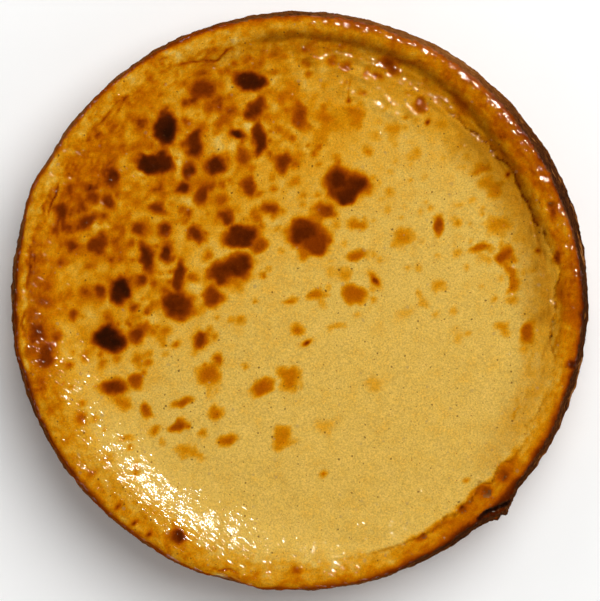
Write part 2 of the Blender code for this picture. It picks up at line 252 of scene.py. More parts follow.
# cracks: bent line in mm, half width, depth
cracks = [
    ([(21, 92), (20.3, 88), (19.8, 85), (21, 80.5)], 0.8, 0.5),
    ([(-51.2, 96.7), (-44.2, 98.6), (-37, 98.7), (-34, 98.9), (-30.2, 103), (-23.2, 106.9)], 0.7, 0.6),
    ([(-58.8, 98.6), (-53.8, 100.5)], 0.8, 0.4),
    ([(-75.5, 77.8), (-73, 79.6)], 0.7, 0.4),
    ([(-98.5, 50.5), (-100.5, 44.1), (-103.2, 38.2), (-103.8, 33)], 0.7, 0.6),
    ([(-113.2, -3), (-114.1, -6.8), (-114.4, -10.5), (-113.2, -15)], 0.9, 0.7),
    ([(-97.8, 6.5), (-98.9, 2.2), (-99.2, -2)], 0.8, 0.3),
    ([(-37, -109.3), (-33.5, -111), (-28.7, -110.6), (-24.6, -112.6)], 0.9, 0.7),
    ([(-84.5, 71), (-81, 74), (-78, 78.5), (-73, 84)], 0.6, 0.35),
    ([(73, -89.6), (77.4, -86.8), (80.3, -86), (84, -84.3), (88.5, -82)], 1.1, 2.2),
    ([(90.5, -43.5), (88.6, -46), (88, -49)], 0.8, 0.4),
    ([(-110.5, 20), (-112, 10), (-112.6, 2)], 0.8, 0.35),
]

# blisters, and pits where one has burst: x, y, half width, height in mm
blisters = [
    (-51, -97, 3.6, 1.5), (6, 99.5, 4.2, 0.9), (49, 80, 3.6, 0.8), (105, 17, 2.6, 0.9),
    (103.2, 38.8, 2.8, -1.8), (83.3, -72.4, 3.0, -1.3), (76.6, -79.2, 2.8, -1.8), (66.8, -86, 2.2, -1.1),
    (113, -25.6, 2.4, -1.2), (36.7, 97.4, 2.6, -0.6), (96, 54.6, 2.2, 0.5), (-95, 37, 2.0, 0.5),
    (51, -97, 1.8, -0.8), (31, 93, 1.8, -0.5),
]


def edgeRadius(bearing):
    out = np.zeros_like(bearing)
    for place, half, far in outlineBumps:
        out += far * mm * hump(turnBetween(bearing, place), half)
    return cake["radius"] - around(bearing, cake["edgeInset"]) * mm + out


def rimSection(radius, bearing):
    floor, foot, wallTop, crest, skinRise, rise = (
        around(bearing, cake[name]) * mm
        for name in ("floorRadius", "footRadius", "wallRadius", "crestRadius", "skinRise", "rimRise"))
    wallShare = around(bearing, cake["wallShare"])
    # round the left the two slopes run into one, round the right the rim stands up as a wall
    merged = withinArc(bearing, (135, 268), 14)
    skinPart = skinRise * eased((radius - floor) / (foot + 3 * mm * merged - floor))
    start = foot - 4 * mm * merged
    wallPart = wallShare * eased((radius - start) / (wallTop - start))
    bandPart = (1 - wallShare) * eased((radius - wallTop + 2 * mm) / (crest - wallTop + 2 * mm))
    rimPart = (rise - skinRise) * (wallPart + bandPart)
    roll = cake["rimRoll"] * np.clip((radius - crest) / (edgeRadius(bearing) - crest), 0, 1.5) ** 2
    return cake["floorHeight"] + skinPart + rimPart - roll


def tornLine(points, bearing):
    # radius of the skin's torn edge, with its teeth, and its step
    bearings, radii, steps = np.array(tornEdge).T
    signed = turnBetween(bearing, 0)
    line = np.interp(signed, bearings, radii)
    step = np.interp(signed, bearings, steps, left=0, right=0)
    line += 0.7 * lumps(points, 3.2 * mm, 7) + 0.6 * lumps(points, 1.3 * mm, 8)
    return line * mm, step * mm


def tornStep(points, radius, bearing):
    line, step = tornLine(points, bearing)
    lip = 0.45 * step * eased(1 - (line - radius) / (relief["lipWidth"] * mm))
    groove = -0.9 * step * eased(1 - (radius - line) / (relief["grooveWidth"] * mm))
    return np.where(radius < line, lip, groove)


def strokes(points, lines, rough):
    # ridges or grooves drawn along bent lines, thinning out at both ends
    height = np.zeros(len(points))
    x, y = points[:, 0] / mm, points[:, 1] / mm
    wander = rough * lumps(points, 4 * mm, 13) + 0.5 * rough * lumps(points, 1.6 * mm, 14)
    for line, half, high in lines:
        xs, ys = zip(*line)
        margin = half + 2
        near = (x > min(xs) - margin) & (x < max(xs) + margin)
        near &= (y > min(ys) - margin) & (y < max(ys) + margin)
        away, along = awayFromLine(x[near] + wander[near], y[near] - wander[near], line)
        taper = 0.3 + 0.7 * eased(np.minimum(along, 1 - along) * 4)
        height[near] += high * mm * taper * hump(away, half)
    return height


def blisterHeight(points):
    height = np.zeros(len(points))
    for x, y, half, high in blisters:
        away = np.hypot(points[:, 0] - x * mm, points[:, 1] - y * mm)
        away *= 1 + 0.25 * lumps(points, 3 * mm, 15, 1)
        height += high * mm * hump(away, half * mm)
    return height


def drawnOut(radius, bearing, length, width, seed):
    # lumps stretched along the rim, in mm; the seam is at the lower left
    along = np.radians(turnBetween(bearing, 30)) * radius / (length * mm)
    return lumps(np.stack([along, radius / (width * mm), np.zeros(len(radius))], axis=1), 1.0, seed)


def wrinkles(radius, bearing):
    # fine ridges along the rim's foot, from the right round to the top
    zone = withinArc(bearing, (338, 112), 14) * hump(radius - 101 * mm, 11 * mm)
    return zone * drawnOut(radius, bearing, 7, 1.5, 37)


def topHeight(points, radius, bearing):
    top = rimSection(radius, bearing)
    for name, seed in (("floorWave", 17), ("skinWave", 19), ("pebbles", 31)):
        size, high = relief[name]
        lively = 1 if name == "floorWave" else 0.45 + eased(radius / cake["radius"])
        top += high * mm * lumps(points, size * mm, seed) * lively
    # the glazed rim round the upper right is lumpy
    size, high = relief["rimLumps"]
    glazed = withinArc(bearing, (8, 84), 14) * hump(radius - 113 * mm, 7 * mm)
    top += high * mm * glazed * lumps(points * (1, 1, 0), size * mm, 35, 3)
    # the skin is crumpled where it slid, at the top and the upper right
    crumpled = withinArc(bearing, (24, 100), 16) * hump(radius - 97 * mm, 20 * mm)
    size, high = relief["crumple"]
    top += high * mm * crumpled * lumps(points * (1, 1, 0), size * mm, 21, 3)
    top += wrinkles(radius, bearing) * 0.3 * mm
    top += strokes(points, folds, 0.9) - strokes(points, cracks, 0.35)
    top += tornStep(points, radius, bearing) + blisterHeight(points)
    return top


def shapeCake(blank):
    count = len(blank.data.vertices)
    points = np.empty(count * 3)
    blank.data.vertices.foreach_get("co", points)
    points = points.reshape(-1, 3)
    radius = np.hypot(points[:, 0], points[:, 1])
    bearing = np.degrees(np.arctan2(points[:, 1], points[:, 0])) % 360
    height = points[:, 2]
    shoulder = cake["rimHeight"] - cake["shoulderRound"]
    # the tin's straight side, the top edge drawn in from it by its own amount at each bearing
    nearEdge = eased((radius - 0.8 * cake["radius"]) / (0.18 * cake["radius"]))
    byHeight = eased((height - cake["widestHeight"]) / (shoulder - cake["widestHeight"]))
    drawn = edgeRadius(bearing) - cake["shoulderRadius"]
    full = cake["radius"] - cake["shoulderRadius"]
    out = nearEdge * blend(full, drawn, byHeight)
    facingOut = eased((radius - (cake["shoulderRadius"] - 2 * mm)) / (2 * mm))
    rough = np.zeros(count)
    for name, seed in (("sideLumps", 23), ("sideCrumbs", 29), ("sideGrit", 33)):
        size, high = relief[name]
        rough += high * lumps(points, size * mm, seed)
    # the burnt crust that hangs out at the lower right
    crust = hump(turnBetween(bearing, relief["crustBearing"]), relief["crustHalf"])
    crust *= hump(height - 0.8 * cake["rimHeight"], 0.4 * cake["rimHeight"])
    size, high = relief["crustRough"]
    rough += crust * high * lumps(points, size * mm, 34, 3)
    smoothRadius = radius + out
    out += facingOut * (rough + relief["crustOut"] * crust) * mm
    grown = (radius + out) / np.maximum(radius, 1e-9)
    moved = points.copy()
    moved[:, 0] *= grown
    moved[:, 1] *= grown
    top = topHeight(moved * (1, 1, 0) + (0, 0, cake["rimHeight"]), smoothRadius, bearing)
    # the relief fades out down the side
    fadeFrom = 0.3 * cake["rimHeight"]
    fade = np.where(height > shoulder, 1, eased((height - fadeFrom) / (shoulder - fadeFrom)))
    moved[:, 2] -= (cake["rimHeight"] - top) * fade
    moved[:, 2] = np.maximum(moved[:, 2], 0)
    moved[height < 0.2 * mm, 2] = 0
    # settled on the middle of its own outline, at the size of the solid it stands for
    low, high = (np.array(corner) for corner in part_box("cheesecake"))
    middle = (moved.min(axis=0) + moved.max(axis=0)) / 2
    span = moved.max(axis=0) - moved.min(axis=0)
    scale = (high - low) / span
    moved = (moved - middle) * scale + (low + high) / 2
    blank.data.vertices.foreach_set("co", moved.ravel())
    blank.data.update()
    print("relief: scaled by", scale.round(4), "height", moved[:, 2].max().round(5))
    return moved, smoothRadius, bearing, height


# brown spots: x, y, length, width in mm, direction of the length in degrees, how dark
spots = [
    (-55, 71, 15, 9.5, 95, 0.96), (-61.5, 56, 13.5, 7.5, 165, 0.95), (-56, 56.5, 9, 6, 90, 0.88),
    (-43.5, 65.5, 11, 7.5, 70, 0.86), (-35, 56.5, 9, 8, 0, 0.86), (-46, 54, 7.5, 5.5, 90, 0.83),
    (-78, 52, 8.5, 5.5, 112, 0.83), (-19.5, 90.5, 13.5, 7, 175, 0.93),
    (-39, 87.5, 10.5, 8.5, 20, 0.81), (-18, 79.5, 11, 6, 50, 0.83), (-17, 67.5, 15, 5.5, 85, 0.83),
    (-25.5, 68, 5.5, 3.5, 170, 0.92), (-7.5, 57.5, 7.5, 7, 0, 0.78), (-24, 59, 6, 6, 0, 0.71),
    (-49, 46.5, 6, 5.5, 30, 0.83), (-40, 44, 12, 5.5, 70, 0.79), (-21.5, 47, 7.5, 4.5, 90, 0.78),
    (-59, 38, 6.5, 5.5, 0, 0.79), (-12, 38, 6, 5.5, 0, 0.73), (-30.5, 34.5, 6.5, 5, 120, 0.79),
    (-24.5, 26, 15, 9, 5, 0.86), (-17, 22, 8.5, 5.5, 30, 0.69), (-32.5, 11.5, 11.5, 10, 0, 0.84),
    (-25.5, 13.5, 11, 10, 0, 0.85), (-56, 29.5, 6, 5, 80, 0.83), (-66, 29, 5.5, 5, 0, 0.77),
    (-55, 20, 6, 5, 90, 0.84), (-62.5, 17, 13.5, 6, 108, 0.85), (-42.5, 27.5, 6, 5.5, 90, 0.81),
    (-83.5, 23.5, 8, 6.5, 60, 0.79), (-88, 32.5, 10, 5, 25, 0.81), (-94, 23, 5.5, 5, 0, 0.80),
    (-85, 42.5, 5.5, 5, 0, 0.77), (-78.5, 41.5, 6.5, 4.5, 115, 0.79), (-95, 46.5, 5, 4, 90, 0.75),
    (-98.5, 36.5, 6.5, 5, 60, 0.82), (-73.5, 4.5, 11, 8, 95, 0.95), (-82, 4, 5.5, 5.5, 0, 0.79),
    (-87.5, 2.5, 4.5, 3.5, 0, 0.65), (-65, 8.5, 5, 4.5, 0, 0.79), (-51, -1.5, 13, 11.5, 0, 0.84),
    (-49.5, 10.5, 13.5, 5.5, 88, 0.83), (-68.5, -2.5, 3.5, 3.5, 0, 0.72),
    (-63, -4.5, 3.5, 3.5, 0, 0.65), (-36.5, 2, 8.5, 6.5, 0, 0.76), (0, 76, 11, 6, 95, 0.71),
    (-32, 73, 10, 5, 35, 0.63), (-32, 41.5, 5, 4.5, 0, 0.65), (2, 28, 14, 10.5, 0, 0.84),
    (7.5, 24, 11, 9, 30, 0.78), (2, 19.5, 7.5, 5.5, 80, 0.60), (15.5, 49, 10.5, 10, 0, 0.85),
    (23, 48, 11.5, 10.5, 0, 0.84), (19, 43.5, 11.5, 6.5, 0, 0.88), (10.5, 37, 7.5, 5.5, 0, 0.71),
    (23, 18.5, 7.5, 5, 0, 0.62), (57, 32, 8, 5, 80, 0.70), (49, 81, 7, 6, 20, 0.70),
    (84, 18, 9, 7, 60, 0.70), (87, 9.5, 9.5, 4.5, 110, 0.55), (43.5, 25.5, 8.5, 7.5, 0, 0.50),
    (23, 32, 6, 4.5, 0, 0.55), (22.5, 2.5, 11, 9, 150, 0.62), (7.5, 2, 8, 5.5, 20, 0.56),
    (31, 8.5, 5, 2.4, 125, 0.78), (17, 75.5, 19, 12.5, 10, 0.42),
    (23.5, 76.5, 9, 7, 20, 0.53), (10.5, 75, 8.5, 5.5, 150, 0.57), (15, 70.5, 9, 4, 10, 0.48),
    (9.5, 69.5, 12.5, 8.5, 30, 0.50), (75, 54, 7, 5, 0, 0.54), (79.5, 46.5, 8, 6, 0, 0.50),
    (83, 32, 7.5, 5, 150, 0.48), (74.5, 21, 9.5, 4, 15, 0.60), (66, 39.5, 3.5, 2.5, 0, 0.34),
    (37.5, 97.5, 8.5, 4.5, 160, 0.72), (65.5, 80.5, 9, 5.5, 130, 0.64), (-79, -15.5, 12, 11, 0, 0.96),
    (-68, -14.5, 7, 6, 0, 0.78), (-64.5, -12, 6, 5, 0, 0.67), (-40.5, -16, 6.5, 6, 0, 0.77),
    (-37.5, -30.5, 8.5, 7, 0, 0.59), (-35.5, -36.5, 7.5, 3.5, 110, 0.38),
    (-76, -35.5, 8.5, 7, 0, 0.80), (-67, -33, 6, 5, 60, 0.68), (-73, -42, 6.5, 4, 130, 0.52),
    (-63.5, -45.5, 6.5, 4, 85, 0.65), (-48.5, -42, 7.5, 4.5, 10, 0.63),
    (-51.5, -52, 7.5, 4.5, 0, 0.70), (-60.5, -54, 5, 4, 60, 0.57), (-34, -46.5, 5.5, 5, 0, 0.57),
    (-40, -55, 4, 3.5, 0, 0.54), (-29.5, -57, 6, 5, 0, 0.60), (-16, -36.5, 10, 7, 35, 0.63),
    (-4.5, -32, 9, 7, 30, 0.55), (-6.5, -56.5, 10, 7, 0, 0.50),
    (-45.5, -62.5, 11, 4, 165, 0.46), (-104.5, -22.5, 10, 7.5, 60, 0.81),
    (-107.5, -13, 7, 5.5, 60, 0.80), (-105.5, 0, 6, 5, 0, 0.71), (-72, -57, 5, 3.5, 0, 0.50),
    (-79.5, -64.5, 6, 4, 0, 0.44), (-93.5, -5.5, 5, 4, 60, 0.76),
    (-100.5, -14.5, 4.5, 4, 0, 0.74), (-98.5, 16, 4.5, 3.5, 90, 0.71), (-74, 17, 4, 3.5, 90, 0.63),
    (-79.5, -7, 3.5, 3.5, 0, 0.63), (-50, -96.5, 7, 5.5, 130, 0.86), (94.5, -13, 7, 5, 80, 0.66),
    (16, -10.5, 6.5, 4, 0, 0.40), (-67.5, 46.5, 4, 3.5, 0, 0.58), (-81, 34.5, 4.5, 3.5, 0, 0.71),
    (-48, 33, 6, 2.5, 0, 0.55), (32, -35.5, 8, 6, 40, 0.33), (10, -52.5, 8, 5, 20, 0.33),
    (65, -15, 7, 5, 90, 0.34), (64, -5, 3.5, 3.5, 0, 0.39), (43, -6, 9, 5, 40, 0.32),
    (2.7, -17.4, 3.2, 1.8, 30, 0.82), (52.6, 73.5, 2.2, 1.5, 70, 0.86), (85.5, 52, 2.2, 1.5, 60, 0.86),
]

browning = {
    "palest": 0.235, "amber": 0.065, "deepAmber": 0.18, "deepBearing": 136, "deepHalf": 74,
    # at every 30 degrees, in mm: where the slope starts to brown, and over how far
    "slopeFrom": (104, 102, 96, 98, 92, 86, 95, 97, 98, 102, 104, 106),
    "slopeOver": (2, 2, 9, 8, 14, 18, 14, 12, 10, 8, 4, 3),
    # at every 15 degrees: browning of the slope, then of the rim at its inner edge, middle and outer edge
    "slope": (0.40, 0.42, 0.46, 0.48, 0.48, 0.44, 0.43, 0.47, 0.52, 0.55, 0.57, 0.58,
              0.60, 0.58, 0.46, 0.40, 0.36, 0.33, 0.30, 0.28, 0.28, 0.30, 0.30, 0.34),
    "rimInner": (0.60, 0.54, 0.60, 0.58, 0.56, 0.52, 0.43, 0.42, 0.48, 0.48, 0.50, 0.52,
                 0.50, 0.52, 0.50, 0.47, 0.48, 0.40, 0.37, 0.35, 0.46, 0.52, 0.38, 0.42),
    "rimMiddle": (0.60, 0.51, 0.62, 0.57, 0.52, 0.48, 0.42, 0.42, 0.42, 0.41, 0.42, 0.44,
                  0.42, 0.44, 0.46, 0.46, 0.47, 0.43, 0.43, 0.42, 0.52, 0.54, 0.43, 0.47),
    "rimOuter": (0.70, 0.62, 0.70, 0.68, 0.66, 0.52, 0.44, 0.43, 0.42, 0.42, 0.43, 0.44,
                 0.41, 0.41, 0.45, 0.46, 0.46, 0.45, 0.51, 0.49, 0.60, 0.62, 0.52, 0.58),
    "rimFrom": (107.5, 108, 106, 107.5, 110, 111, 110.5, 110, 110, 111.5, 112.5, 113,
                113.5, 115, 112, 111, 111, 110, 109.5, 109, 108, 107.5, 108.5, 108.5),
    # how wide the scorched edge is there, in mm
    "scorch": (2.6, 2.2, 3.1, 3.4, 2.0, 2.6, 2.7, 2.3, 1.7, 1.1, 1.1, 1.2,
               2.1, 1.7, 1.4, 1.4, 0.8, 0.3, 1.2, 2.4, 3.5, 3.6, 3.3, 2.8),
    # and how dark it is, at every 30 degrees
    "scorchDark": (0.92, 0.90, 0.72, 0.81, 0.80, 0.75, 0.85, 0.84, 0.76, 0.76, 0.90, 0.88),
    "freckles": 420, "lightFreckles": 125, "chipBearing": 253.8,
    # where the rim runs on over the edge, and how far down in mm it keeps its skin there
    "overEdge": (112, 290), "overEdgeDrop": 5.5,
}

# painted shade along the foot of the rim: bearing and radius along each band, reach inward and outward in mm,
# how dark
valleyShadows = [
    ([(14, 101.6), (20, 102.2), (30, 102.0), (38, 102.8), (45, 104.2), (52, 105.6), (60, 106.8), (70, 107.4),
      (78, 107.8), (88, 108.4), (98, 108.6)], 2.8, 5.0, 0.62),
    ([(16, 100.5), (30, 100.0), (45, 100.5), (60, 102), (80, 105.5), (104, 107)], 4.5, 4.5, 0.22),
    ([(-42, 105), (-20, 105), (-5, 104)], 17, 3, 0.15),
    ([(-5, 103), (10, 102), (30, 101), (45, 100)], 19, 3, 0.36),
    ([(58, 104), (75, 104), (100, 106), (112, 106.5)], 7, 2.5, 0.24),
    ([(2, 101.6), (10, 101.2), (18, 101.0)], 0.9, 1.6, 0.35),
    ([(44, 99.2), (52, 101.0), (58, 102.5)], 1.2, 1.2, 0.30),
    ([(-8, 107.5), (4, 108.6), (14, 107.0)], 1.2, 2.4, 0.22),
]

# stains on the rim: x, y, length, width in mm, direction in degrees, how dark
stains = [
    (104.5, 36.5, 6, 4, 110, 0.74), (111.8, -26.3, 5.2, 3.4, 167, 0.90), (77, -89, 7, 4, 40, 0.96),
    (112.5, -4, 9, 7, 90, 0.66), (109, 3, 8, 5, 95, 0.62), (91.5, 55, 6, 4, 125, 0.60),
    (84, -71.5, 6, 5, 40, 0.72), (75, -79, 8.5, 4.5, 25, 0.68), (67.5, -85.5, 5, 3.5, 30, 0.68),
    (61.5, -91.5, 7, 3, 25, 0.62), (70, -84.5, 10, 5, 35, 0.56), (87.5, -66.5, 7, 4, 60, 0.58),
    (56, -93.8, 5, 2.4, 30, 0.60), (49.5, -98, 5, 3, 20, 0.66), (-1.5, -111, 4.5, 2.6, 0, 0.66),
    (-86, -72, 4, 2.5, 50, 0.56),
    (-110, -20, 8, 5, 80, 0.66), (-110, -6, 9, 5, 90, 0.66), (-108.5, 8, 9, 5, 95, 0.62),
    (-62, -96, 3, 2, 50, 0.80), (-68, -91, 2.5, 1.5, 30, 0.82), (-75, -85, 2.5, 1.5, 40, 0.78),
    (106.5, 17.5, 4, 3, 90, 0.76), (98, 20.5, 1.8, 1.4, 0, 0.80), (41, -112, 4, 2.5, 10, 0.70),
]


def atBearing(radius, bearing):
    return radius * math.cos(math.radians(bearing)), radius * math.sin(math.radians(bearing))


def makeFreckles():
    # small brown freckles, thick on the upper left and thin elsewhere
    draw = np.random.default_rng(11)
    found = []
    while len(found) < browning["freckles"]:
        radius = 104 * math.sqrt(draw.random())
        bearing = 360 * draw.random()
        away = abs(turnBetween(bearing, browning["deepBearing"] + 8))
        chance = float(eased((95 - away) / 60)) * (0.25 + 0.75 * float(eased((radius - 12) / 40))) + 0.015
        size = 1.6 + 3.4 * draw.random() ** 2
        if draw.random() < chance:
            found.append((*atBearing(radius, bearing), size, size * (0.6 + 0.4 * draw.random()),
                          180 * draw.random(), 0.50 + 0.22 * draw.random() ** 1.6))
    # and paler ones on the right
    while len(found) < browning["freckles"] + browning["lightFreckles"]:
        radius = 98 * math.sqrt(draw.random())
        bearing = -15 + 85 * draw.random()
        size = 1.4 + 3.2 * draw.random() ** 2
        chance = 0.25 + 0.75 * float(eased((atBearing(radius, bearing)[1] + 20) / 60))
        if draw.random() < chance:
            found.append((*atBearing(radius, bearing), size, size * (0.5 + 0.5 * draw.random()),
                          180 * draw.random(), 0.35 + 0.14 * draw.random()))
    return found


def spotBrowning(x, y, level, warpX, warpY, someSpots):
    for spotX, spotY, length, width, turn, bake in someSpots:
        reach = (max(length, width) / 2 + 4.5) * mm
        near = (np.abs(x - spotX * mm) < reach) & (np.abs(y - spotY * mm) < reach)
        size = min(1.0, (length + width) / 12) * (1.0 if bake > 0.56 else 1.7)
        awayX = x[near] + size * warpX[near] - spotX * mm
        awayY = y[near] + size * warpY[near] - spotY * mm
        angle = math.radians(turn)
        along = (awayX * math.cos(angle) + awayY * math.sin(angle)) / (length / 2 * mm)
        across = (awayY * math.cos(angle) - awayX * math.sin(angle)) / (width / 2 * mm)
        distance = (np.hypot(along, across) - 1) * (length + width) / 4  # mm outside the outline
        here = level[near]
        # a dark heart, a brown band and an orange halo that fades into the custard
        wide = 3.2 if bake > 0.7 else 1.6
        halo = (0.8 if bake > 0.7 else 0.4) * eased((wide - distance) / (wide + 0.8)) * min(1, size)
        here = np.maximum(here, blend(here, min(0.58, bake), halo))
        soft = 1.0 + 0.05 * (length + width)
        inside = eased((soft - distance) / (2 * soft))
        heart = 0.05 * eased(-distance / (0.18 * (length + width))) - 0.03
        level[near] = np.maximum(here, blend(here, bake + heart, inside))
    return level


def bakeLevels(points, radius, bearing):
    x, y = points[:, 0], points[:, 1]
    b = browning
    angle = math.radians(125)
    toAmber = (x * math.cos(angle) + y * math.sin(angle)) / mm
    deep = eased((b["deepHalf"] - np.abs(turnBetween(bearing, b["deepBearing"]))) / 50)
    deep *= eased((radius / mm - 26) / 66)
    level = b["palest"] + b["amber"] * eased((toAmber + 25) / 70) + b["deepAmber"] * deep
    # patches of deeper amber between the spots
    patches = lumps(points, 11 * mm, 51, 3)
    small = lumps(points, 4 * mm, 52, 3)
    level += (0.02 + 0.28 * deep) * patches + (0.02 + 0.19 * deep) * small
    # round the right the pale skin ends in a torn line, elsewhere it turns brown little by little
    out = radius / mm
    crumbs = lumps(points, 1.8 * mm, 53, 2) * (out > 104)
    streaky = drawnOut(radius, bearing, 4.5, 1.3, 54)
    uneven = (0.08 + 0.07 * deep) * patches + (0.09 + 0.06 * deep) * small + 0.08 * crumbs + 0.09 * streaky
    torn = withinArc(bearing, (288, 50), 6)
    crisp = np.maximum(withinArc(bearing, (287, 321), 4), withinArc(bearing, (342, 50), 6))
    line = tornLine(points, bearing)[0]
    slopeFrom = blend(around(bearing, b["slopeFrom"]) + 1.5 * small, line / mm, torn)
    slopeOver = blend(blend(around(bearing, b["slopeOver"]), 3.0, torn), 0.7, crisp)
    level += 0.11 * withinArc(bearing, (346, 62), 30) * eased((out - line / mm + 17 + 2 * small) / 16)
    level = blend(level, around(bearing, b["slope"]) + uneven, eased((out - slopeFrom) / slopeOver))
    jagged = 1.6 * lumps(points, 8 * mm, 41) + 1.1 * lumps(points, 2.6 * mm, 42, 3)
    rimFrom = around(bearing, b["rimFrom"]) + jagged
    sharp = withinArc(bearing, (104, 206), 8)
    rim = blend(around(bearing, b["rimInner"]), around(bearing, b["rimMiddle"]), eased((out - 109) / 4))
    rim = blend(rim, around(bearing, b["rimOuter"]), eased((out - 113) / 3.5)) + uneven
    level = blend(level, rim, eased((out - rimFrom) / blend(3.6, 1.0, sharp) + 0.5))
    freckles = makeFreckles()
    warpX = 1.9 * mm * lumps(points, 7 * mm, 61) + 0.7 * mm * lumps(points, 2.6 * mm, 62)
    warpY = 1.9 * mm * lumps(points, 7 * mm, 63) + 0.7 * mm * lumps(points, 2.6 * mm, 64)
    level = spotBrowning(x, y, level, warpX, warpY, freckles)
    level = spotBrowning(x, y, level, warpX, warpY, spots + stains)
    level += 0.03 * small * (level > 0.7)
    # the edge that touched the tin is scorched
    edge = edgeRadius(bearing) / mm - 0.6
    width = around(bearing, b["scorch"])
    width *= 1 + 0.6 * lumps(points, 9 * mm, 71) + 0.3 * lumps(points, 3 * mm, 72)
    near = (out - edge + width) / width
    level = np.maximum(level, blend(level, 0.68, 0.7 * eased((near + 0.9) / 1.4)))
    level = blend(level, around(bearing, b["scorchDark"]), eased(near * 1.15 - 0.1))
    # where a chip came off the edge the pale crumb shows
    chip = hump(turnBetween(bearing, b["chipBearing"]), 2.2) * eased((out - 117.2) / 0.8)
    return blend(level, 0.05, chip)


def valleyShade(points, radius, bearing):
    # painted shadow brown where the wall of the rim meets the skin, in the troughs of the wrinkles, in a thin
    # line just outside the torn edge and in streaks across the outer rim
    out = radius / mm
    shade = np.zeros(len(out))
    waver = 0.8 * lumps(points, 5 * mm, 77)
    signed = turnBetween(bearing, 0)
    for line, inward, outward, dark in valleyShadows:
        bearings, radii = np.array(line).T
        away = out + waver - np.interp(signed, bearings, radii)
        ends = eased((signed - bearings[0] + 5) / 7) * eased((bearings[-1] + 5 - signed) / 7)
        shade = np.maximum(shade, dark * ends * eased(1 - np.where(away < 0, -away / inward, away / outward)))
    shade += 0.36 * np.clip(-wrinkles(radius, bearing), 0, 1)
    line, step = tornLine(points, bearing)
    ragged = 0.35 + 0.65 * eased(0.5 + 1.6 * lumps(points, 4 * mm, 78))
    # a painted shadow line just outside the torn edge, where the skin stands over the groove
    shade += 0.7 * ragged * eased(step / mm / 0.7) * hump(out - line / mm - 0.4, 0.7)
    shade += 0.2 * np.clip(-drawnOut(radius, bearing, 4.5, 1.3, 54), 0, 1) * eased((out - 108) / 3)
    return shade


def darkenPits(points, level):
    # painted shade in the cracks, darker the deeper they are; the burst pits and the burnt blister are
    # browner inside
    level += 0.35 * strokes(points, cracks, 0.35) / mm
    for x, y, half, high in blisters:
        if high < 0 or high > 1:
            away = np.hypot(points[:, 0] - x * mm, points[:, 1] - y * mm)
            level = np.maximum(level, blend(level, 0.80 if high > 1 else 0.72, hump(away, 1.1 * half * mm)))
    return level


def sideBrowning(points, bearing, height):
    # nearly black under the edge, golden brown lower down, with paler torn flakes
    drop = (cake["rimHeight"] - height) / mm
    level = 0.66 + 0.20 * lumps(points, 12 * mm, 81, 3) + 0.10 * lumps(points, 2.4 * mm, 82)
    top = around(bearing, browning["scorchDark"]) - 0.02 + 0.08 * lumps(points, 2.4 * mm, 83)
    # orange brown for the first few millimetres at the left, where the rim runs over the edge
    atLeft = withinArc(bearing, browning["overEdge"], 16)
    top = blend(top, 0.70 + 0.08 * lumps(points, 5 * mm, 84), atLeft * eased((5 - drop) / 4))
    level = blend(top, level, eased((drop - 16) / 16))
    # paler flakes where the side stuck to the tin
    flakes = eased((lumps(points * (1, 1, 2), 7 * mm, 85, 3) - 0.30) / 0.25) * eased((drop - 4) / 6)
    flakes *= eased((42 - drop) / 14)
    level = blend(level, 0.54 + 0.3 * lumps(points, 2.4 * mm, 82), 0.85 * flakes)
    chip = hump(turnBetween(bearing, browning["chipBearing"]), 2.2)
    return blend(level, 0.2, chip * eased((14 - drop) / 5))


def glazeChance(points, radius, bearing):
    # how likely the glaze is wet: at the lower left, on the folds at the top and round the rim
    out = radius / mm
    wetLeft = withinArc(bearing, (231, 243), 36) * eased((out - 84 - 4 * lumps(points, 9 * mm, 91)) / 13)
    wetLeft *= 0.66 * eased((115 - out + 3 * lumps(points, 6 * mm, 92)) / 8)
    wetFolds = withinArc(bearing, (55, 84), 12) * eased((out - 80) / 6)
    wetFolds *= 0.55 + 0.35 * lumps(points, 4 * mm, 94)
    wetRim = withinArc(bearing, (10, 84), 16) * eased((out - 106) / 4)
    wetRim *= 0.72 + 0.40 * lumps(points, 5 * mm, 95)
    wetSpray = 0.36 * eased((out - 60) / 40) + 0.10 * lumps(points, 14 * mm, 93)
    return np.maximum.reduce([wetLeft, wetFolds, wetRim, wetSpray])


def bakeCake(cakeBody, moved, radius, bearing, height):
    shade = valleyShade(moved, radius, bearing)
    level = bakeLevels(moved, radius, bearing)
    # where shade is painted, the skin is also browned towards 0.6 so the painted shadow looks brown
    level = np.maximum(level, blend(level, 0.60, 0.5 * np.clip(shade, 0, 1)))
    level = darkenPits(moved, level)
    # the side begins a little in from the edge and below it
    side = eased((radius - (edgeRadius(bearing) - 1.0 * mm)) / (1.2 * mm))
    side *= height < cake["rimHeight"] - 1.2 * mm
    side = np.maximum(side, height < cake["rimHeight"] - cake["shoulderRound"])
    level = blend(level, sideBrowning(moved, bearing, height), side)
    gloss = blend(glazeChance(moved, radius, bearing), 0, side)
    # the materials read these three
    for name, values in (("bake", level), ("gloss", gloss), ("shade", shade * (1 - side))):
        attribute = cakeBody.data.attributes.new(name, "FLOAT", "POINT")
        attribute.data.foreach_set("value", np.clip(values, 0, 1).astype(np.float32))
    print("browning: from", level.min().round(2), "to", level.max().round(2))


def hexColor(code):
    channels = [int(code[start:start + 2], 16) / 255 for start in (1, 3, 5)]
    return [c / 12.92 if c <= 0.04045 else ((c + 0.055) / 1.055) ** 2.4 for c in channels] + [1.0]


def addNode(owner, kind, settings=None, links=None, values=None):
    tree = owner.node_tree
    node = tree.nodes.new(kind)
    for name, value in (settings or {}).items():
        setattr(node, name, value)
    for name, value in (values or {}).items():
        node.inputs[name].default_value = value
    for name, source in (links or {}).items():
        tree.links.new(source, node.inputs[name])
    return node


